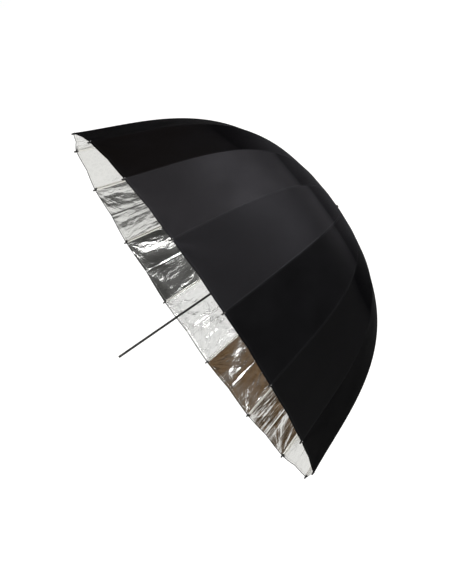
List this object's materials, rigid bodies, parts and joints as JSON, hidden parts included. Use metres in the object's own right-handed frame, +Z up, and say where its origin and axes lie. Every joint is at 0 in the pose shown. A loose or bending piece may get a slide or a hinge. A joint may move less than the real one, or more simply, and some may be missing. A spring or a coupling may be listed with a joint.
{
  "type": "umbrella reflector",
  "caption": "Deep studio umbrella reflector: black cloth with a silver lining over bowed fibreglass ribs, folding on a runner along a thin steel shaft.",
  "frame": {"origin": "centre of the flat free end of the shaft, the end that a lamp's umbrella holder takes", "axes": "+Y along the shaft from its free end to the crown, so the bowl opens towards -Y; +Z up with the shaft level, and the runner's release button faces +Z"},
  "size_m": [1.249, 0.8073, 1.249],
  "materials": {
    "reflector_cloth": "satin black outside, crinkled metallic silver inside",
    "white_fibreglass": "semi-gloss",
    "blackened_steel": "satin",
    "bright_steel": "bright",
    "black_plastic": "moulded, satin"
  },
  "bodies": {
    "root": {"shaft": "blackened_steel", "end_plug": "black_plastic", "stop_pin": "bright_steel", "crown": "black_plastic", "crown_ring_wire": "bright_steel", "canopy_washer": "black_plastic", "crown_cap": "black_plastic"},
    "runner": {"runner": "black_plastic", "runner_ring_wire": "bright_steel", "runner_collar": "black_plastic", "button_pin": "bright_steel"},
    "release_button": {"release_button": "black_plastic"},
    "rib_01": {"rib_01": "white_fibreglass", "canopy_sector_01": "reflector_cloth"},
    "stretcher_01": {"stretcher_01": "blackened_steel"},
    "rib_02": {"rib_02": "white_fibreglass", "canopy_sector_02": "reflector_cloth"},
    "stretcher_02": {"stretcher_02": "blackened_steel"},
    "rib_03": {"rib_03": "white_fibreglass", "canopy_sector_03": "reflector_cloth"},
    "stretcher_03": {"stretcher_03": "blackened_steel"},
    "rib_04": {"rib_04": "white_fibreglass", "canopy_sector_04": "reflector_cloth"},
    "stretcher_04": {"stretcher_04": "blackened_steel"},
    "rib_05": {"rib_05": "white_fibreglass", "canopy_sector_05": "reflector_cloth"},
    "stretcher_05": {"stretcher_05": "blackened_steel"},
    "rib_06": {"rib_06": "white_fibreglass", "canopy_sector_06": "reflector_cloth"},
    "stretcher_06": {"stretcher_06": "blackened_steel"},
    "rib_07": {"rib_07": "white_fibreglass", "canopy_sector_07": "reflector_cloth"},
    "stretcher_07": {"stretcher_07": "blackened_steel"},
    "rib_08": {"rib_08": "white_fibreglass", "canopy_sector_08": "reflector_cloth"},
    "stretcher_08": {"stretcher_08": "blackened_steel"},
    "rib_09": {"rib_09": "white_fibreglass", "canopy_sector_09": "reflector_cloth"},
    "stretcher_09": {"stretcher_09": "blackened_steel"},
    "rib_10": {"rib_10": "white_fibreglass", "canopy_sector_10": "reflector_cloth"},
    "stretcher_10": {"stretcher_10": "blackened_steel"},
    "rib_11": {"rib_11": "white_fibreglass", "canopy_sector_11": "reflector_cloth"},
    "stretcher_11": {"stretcher_11": "blackened_steel"},
    "rib_12": {"rib_12": "white_fibreglass", "canopy_sector_12": "reflector_cloth"},
    "stretcher_12": {"stretcher_12": "blackened_steel"},
    "rib_13": {"rib_13": "white_fibreglass", "canopy_sector_13": "reflector_cloth"},
    "stretcher_13": {"stretcher_13": "blackened_steel"},
    "rib_14": {"rib_14": "white_fibreglass", "canopy_sector_14": "reflector_cloth"},
    "stretcher_14": {"stretcher_14": "blackened_steel"},
    "rib_15": {"rib_15": "white_fibreglass", "canopy_sector_15": "reflector_cloth"},
    "stretcher_15": {"stretcher_15": "blackened_steel"},
    "rib_16": {"rib_16": "white_fibreglass", "canopy_sector_16": "reflector_cloth"},
    "stretcher_16": {"stretcher_16": "blackened_steel"}
  },
  "joints": [
    {"name": "runner_slide", "type": "slide", "parent": "root", "child": "runner", "axis": [0, -1, 0], "range_m": [0, 0.33924]},
    {"name": "release_button_rock", "type": "hinge", "parent": "runner", "child": "release_button", "pos_m": [0, 0.509, 0.0062], "axis": [1, 0, 0], "range_deg": [0, 5], "stiffness_Nm_per_rad": 0.05},
    {"name": "rib_hinge_01", "type": "hinge", "parent": "root", "child": "rib_01", "pos_m": [0.00993, 0.785, 0.00115], "axis": [0.1149, 0, -0.9934], "range_deg": [0, 47.25], "deforming": ["canopy_sector_01"]},
    {"name": "stretcher_hinge_01", "type": "hinge", "parent": "runner", "child": "stretcher_01", "pos_m": [0.01093, 0.539, 0.00126], "axis": [-0.1149, 0, 0.9934], "range_deg": [0, 34.97]},
    {"name": "rib_hinge_02", "type": "hinge", "parent": "root", "child": "rib_02", "pos_m": [0.00874, 0.785, 0.00486], "axis": [0.4863, 0, -0.8738], "range_deg": [0, 47.25], "deforming": ["canopy_sector_02"]},
    {"name": "stretcher_hinge_02", "type": "hinge", "parent": "runner", "child": "stretcher_02", "pos_m": [0.00961, 0.539, 0.00535], "axis": [-0.4863, 0, 0.8738], "range_deg": [0, 34.97]},
    {"name": "rib_hinge_03", "type": "hinge", "parent": "root", "child": "rib_03", "pos_m": [0.00621, 0.785, 0.00784], "axis": [0.7837, 0, -0.6211], "range_deg": [0, 47.25], "deforming": ["canopy_sector_03"]},
    {"name": "stretcher_hinge_03", "type": "hinge", "parent": "runner", "child": "stretcher_03", "pos_m": [0.00683, 0.539, 0.00862], "axis": [-0.7837, 0, 0.6211], "range_deg": [0, 34.97]},
    {"name": "rib_hinge_04", "type": "hinge", "parent": "root", "child": "rib_04", "pos_m": [0.00274, 0.785, 0.00962], "axis": [0.9617, 0, -0.274], "range_deg": [0, 47.25], "deforming": ["canopy_sector_04"]},
    {"name": "stretcher_hinge_04", "type": "hinge", "parent": "runner", "child": "stretcher_04", "pos_m": [0.00301, 0.539, 0.01058], "axis": [-0.9617, 0, 0.274], "range_deg": [0, 34.97]},
    {"name": "rib_hinge_05", "type": "hinge", "parent": "root", "child": "rib_05", "pos_m": [-0.00115, 0.785, 0.00993], "axis": [0.9934, 0, 0.1149], "range_deg": [0, 47.25], "deforming": ["canopy_sector_05"]},
    {"name": "stretcher_hinge_05", "type": "hinge", "parent": "runner", "child": "stretcher_05", "pos_m": [-0.00126, 0.539, 0.01093], "axis": [-0.9934, 0, -0.1149], "range_deg": [0, 34.97]},
    {"name": "rib_hinge_06", "type": "hinge", "parent": "root", "child": "rib_06", "pos_m": [-0.00486, 0.785, 0.00874], "axis": [0.8738, 0, 0.4863], "range_deg": [0, 47.25], "deforming": ["canopy_sector_06"]},
    {"name": "stretcher_hinge_06", "type": "hinge", "parent": "runner", "child": "stretcher_06", "pos_m": [-0.00535, 0.539, 0.00961], "axis": [-0.8738, 0, -0.4863], "range_deg": [0, 34.97]},
    {"name": "rib_hinge_07", "type": "hinge", "parent": "root", "child": "rib_07", "pos_m": [-0.00784, 0.785, 0.00621], "axis": [0.6211, 0, 0.7837], "range_deg": [0, 47.25], "deforming": ["canopy_sector_07"]},
    {"name": "stretcher_hinge_07", "type": "hinge", "parent": "runner", "child": "stretcher_07", "pos_m": [-0.00862, 0.539, 0.00683], "axis": [-0.6211, 0, -0.7837], "range_deg": [0, 34.97]},
    {"name": "rib_hinge_08", "type": "hinge", "parent": "root", "child": "rib_08", "pos_m": [-0.00962, 0.785, 0.00274], "axis": [0.274, 0, 0.9617], "range_deg": [0, 47.25], "deforming": ["canopy_sector_08"]},
    {"name": "stretcher_hinge_08", "type": "hinge", "parent": "runner", "child": "stretcher_08", "pos_m": [-0.01058, 0.539, 0.00301], "axis": [-0.274, 0, -0.9617], "range_deg": [0, 34.97]},
    {"name": "rib_hinge_09", "type": "hinge", "parent": "root", "child": "rib_09", "pos_m": [-0.00993, 0.785, -0.00115], "axis": [-0.1149, 0, 0.9934], "range_deg": [0, 47.25], "deforming": ["canopy_sector_09"]},
    {"name": "stretcher_hinge_09", "type": "hinge", "parent": "runner", "child": "stretcher_09", "pos_m": [-0.01093, 0.539, -0.00126], "axis": [0.1149, 0, -0.9934], "range_deg": [0, 34.97]},
    {"name": "rib_hinge_10", "type": "hinge", "parent": "root", "child": "rib_10", "pos_m": [-0.00874, 0.785, -0.00486], "axis": [-0.4863, 0, 0.8738], "range_deg": [0, 47.25], "deforming": ["canopy_sector_10"]},
    {"name": "stretcher_hinge_10", "type": "hinge", "parent": "runner", "child": "stretcher_10", "pos_m": [-0.00961, 0.539, -0.00535], "axis": [0.4863, 0, -0.8738], "range_deg": [0, 34.97]},
    {"name": "rib_hinge_11", "type": "hinge", "parent": "root", "child": "rib_11", "pos_m": [-0.00621, 0.785, -0.00784], "axis": [-0.7837, 0, 0.6211], "range_deg": [0, 47.25], "deforming": ["canopy_sector_11"]},
    {"name": "stretcher_hinge_11", "type": "hinge", "parent": "runner", "child": "stretcher_11", "pos_m": [-0.00683, 0.539, -0.00862], "axis": [0.7837, 0, -0.6211], "range_deg": [0, 34.97]},
    {"name": "rib_hinge_12", "type": "hinge", "parent": "root", "child": "rib_12", "pos_m": [-0.00274, 0.785, -0.00962], "axis": [-0.9617, 0, 0.274], "range_deg": [0, 47.25], "deforming": ["canopy_sector_12"]},
    {"name": "stretcher_hinge_12", "type": "hinge", "parent": "runner", "child": "stretcher_12", "pos_m": [-0.00301, 0.539, -0.01058], "axis": [0.9617, 0, -0.274], "range_deg": [0, 34.97]},
    {"name": "rib_hinge_13", "type": "hinge", "parent": "root", "child": "rib_13", "pos_m": [0.00115, 0.785, -0.00993], "axis": [-0.9934, 0, -0.1149], "range_deg": [0, 47.25], "deforming": ["canopy_sector_13"]},
    {"name": "stretcher_hinge_13", "type": "hinge", "parent": "runner", "child": "stretcher_13", "pos_m": [0.00126, 0.539, -0.01093], "axis": [0.9934, 0, 0.1149], "range_deg": [0, 34.97]},
    {"name": "rib_hinge_14", "type": "hinge", "parent": "root", "child": "rib_14", "pos_m": [0.00486, 0.785, -0.00874], "axis": [-0.8738, 0, -0.4863], "range_deg": [0, 47.25], "deforming": ["canopy_sector_14"]},
    {"name": "stretcher_hinge_14", "type": "hinge", "parent": "runner", "child": "stretcher_14", "pos_m": [0.00535, 0.539, -0.00961], "axis": [0.8738, 0, 0.4863], "range_deg": [0, 34.97]},
    {"name": "rib_hinge_15", "type": "hinge", "parent": "root", "child": "rib_15", "pos_m": [0.00784, 0.785, -0.00621], "axis": [-0.6211, 0, -0.7837], "range_deg": [0, 47.25], "deforming": ["canopy_sector_15"]},
    {"name": "stretcher_hinge_15", "type": "hinge", "parent": "runner", "child": "stretcher_15", "pos_m": [0.00862, 0.539, -0.00683], "axis": [0.6211, 0, 0.7837], "range_deg": [0, 34.97]},
    {"name": "rib_hinge_16", "type": "hinge", "parent": "root", "child": "rib_16", "pos_m": [0.00962, 0.785, -0.00274], "axis": [-0.274, 0, -0.9617], "range_deg": [0, 47.25], "deforming": ["canopy_sector_16"]},
    {"name": "stretcher_hinge_16", "type": "hinge", "parent": "runner", "child": "stretcher_16", "pos_m": [0.01058, 0.539, -0.00301], "axis": [0.274, 0, 0.9617], "range_deg": [0, 34.97]}
  ],
  "couplings": [
    {"joint": "rib_hinge_01", "follows": "runner_slide", "rad_per_m": 2.418},
    {"joint": "stretcher_hinge_01", "follows": "runner_slide", "rad_per_m": 1.7861},
    {"joint": "rib_hinge_02", "follows": "runner_slide", "rad_per_m": 2.418},
    {"joint": "stretcher_hinge_02", "follows": "runner_slide", "rad_per_m": 1.7861},
    {"joint": "rib_hinge_03", "follows": "runner_slide", "rad_per_m": 2.418},
    {"joint": "stretcher_hinge_03", "follows": "runner_slide", "rad_per_m": 1.7861},
    {"joint": "rib_hinge_04", "follows": "runner_slide", "rad_per_m": 2.418},
    {"joint": "stretcher_hinge_04", "follows": "runner_slide", "rad_per_m": 1.7861},
    {"joint": "rib_hinge_05", "follows": "runner_slide", "rad_per_m": 2.418},
    {"joint": "stretcher_hinge_05", "follows": "runner_slide", "rad_per_m": 1.7861},
    {"joint": "rib_hinge_06", "follows": "runner_slide", "rad_per_m": 2.418},
    {"joint": "stretcher_hinge_06", "follows": "runner_slide", "rad_per_m": 1.7861},
    {"joint": "rib_hinge_07", "follows": "runner_slide", "rad_per_m": 2.418},
    {"joint": "stretcher_hinge_07", "follows": "runner_slide", "rad_per_m": 1.7861},
    {"joint": "rib_hinge_08", "follows": "runner_slide", "rad_per_m": 2.418},
    {"joint": "stretcher_hinge_08", "follows": "runner_slide", "rad_per_m": 1.7861},
    {"joint": "rib_hinge_09", "follows": "runner_slide", "rad_per_m": 2.418},
    {"joint": "stretcher_hinge_09", "follows": "runner_slide", "rad_per_m": 1.7861},
    {"joint": "rib_hinge_10", "follows": "runner_slide", "rad_per_m": 2.418},
    {"joint": "stretcher_hinge_10", "follows": "runner_slide", "rad_per_m": 1.7861},
    {"joint": "rib_hinge_11", "follows": "runner_slide", "rad_per_m": 2.418},
    {"joint": "stretcher_hinge_11", "follows": "runner_slide", "rad_per_m": 1.7861},
    {"joint": "rib_hinge_12", "follows": "runner_slide", "rad_per_m": 2.418},
    {"joint": "stretcher_hinge_12", "follows": "runner_slide", "rad_per_m": 1.7861},
    {"joint": "rib_hinge_13", "follows": "runner_slide", "rad_per_m": 2.418},
    {"joint": "stretcher_hinge_13", "follows": "runner_slide", "rad_per_m": 1.7861},
    {"joint": "rib_hinge_14", "follows": "runner_slide", "rad_per_m": 2.418},
    {"joint": "stretcher_hinge_14", "follows": "runner_slide", "rad_per_m": 1.7861},
    {"joint": "rib_hinge_15", "follows": "runner_slide", "rad_per_m": 2.418},
    {"joint": "stretcher_hinge_15", "follows": "runner_slide", "rad_per_m": 1.7861},
    {"joint": "rib_hinge_16", "follows": "runner_slide", "rad_per_m": 2.418},
    {"joint": "stretcher_hinge_16", "follows": "runner_slide", "rad_per_m": 1.7861}
  ]
}
